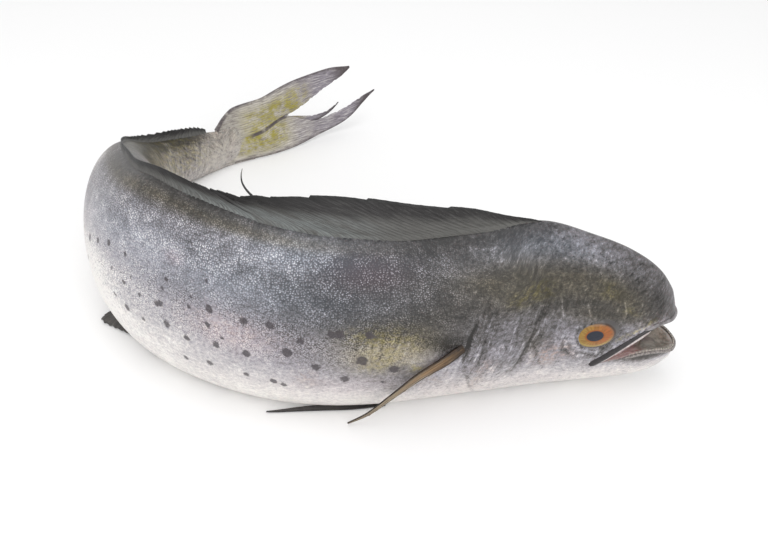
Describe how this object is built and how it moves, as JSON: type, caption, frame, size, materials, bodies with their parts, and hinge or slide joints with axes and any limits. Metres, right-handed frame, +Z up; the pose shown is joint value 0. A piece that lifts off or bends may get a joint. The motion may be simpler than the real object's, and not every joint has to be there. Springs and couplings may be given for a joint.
{
  "type": "whole mahi-mahi fish",
  "caption": "Whole raw mahi-mahi lying on its belly and curled round into a C, with open mouth, long dorsal fin and deeply forked tail.",
  "frame": {"origin": "middle of the fish's bounding box seen from above, on the surface that it lies on", "axes": "+Z up; the head points to +X and the right flank of the front half faces -Y; the body curls round through -X and the tail lies behind at +Y"},
  "size_m": [0.3612, 0.372, 0.1306],
  "materials": {
    "skin": "wet silvery lilac-grey fish skin, olive on the back, with dark spots; stands in for flesh",
    "dark_fin": "wet charcoal fin with paler rays",
    "tail": "wet yellow-olive and lilac-grey tail fin",
    "eye": "wet golden iris round a blue-black pupil",
    "brown_fin": "wet golden-brown fin",
    "black_fin": "wet black fin"
  },
  "bodies": {
    "root": {"body": "skin", "dorsal_fin": "dark_fin", "anal_fin": "dark_fin", "tail_lobe_upper": "tail", "tail_lobe_lower": "tail", "eye_right": "eye", "eye_left": "eye", "pectoral_fin_right": "brown_fin", "pectoral_fin_left": "brown_fin", "pelvic_fin_right": "black_fin", "pelvic_fin_left": "black_fin"}
  },
  "joints": []
}
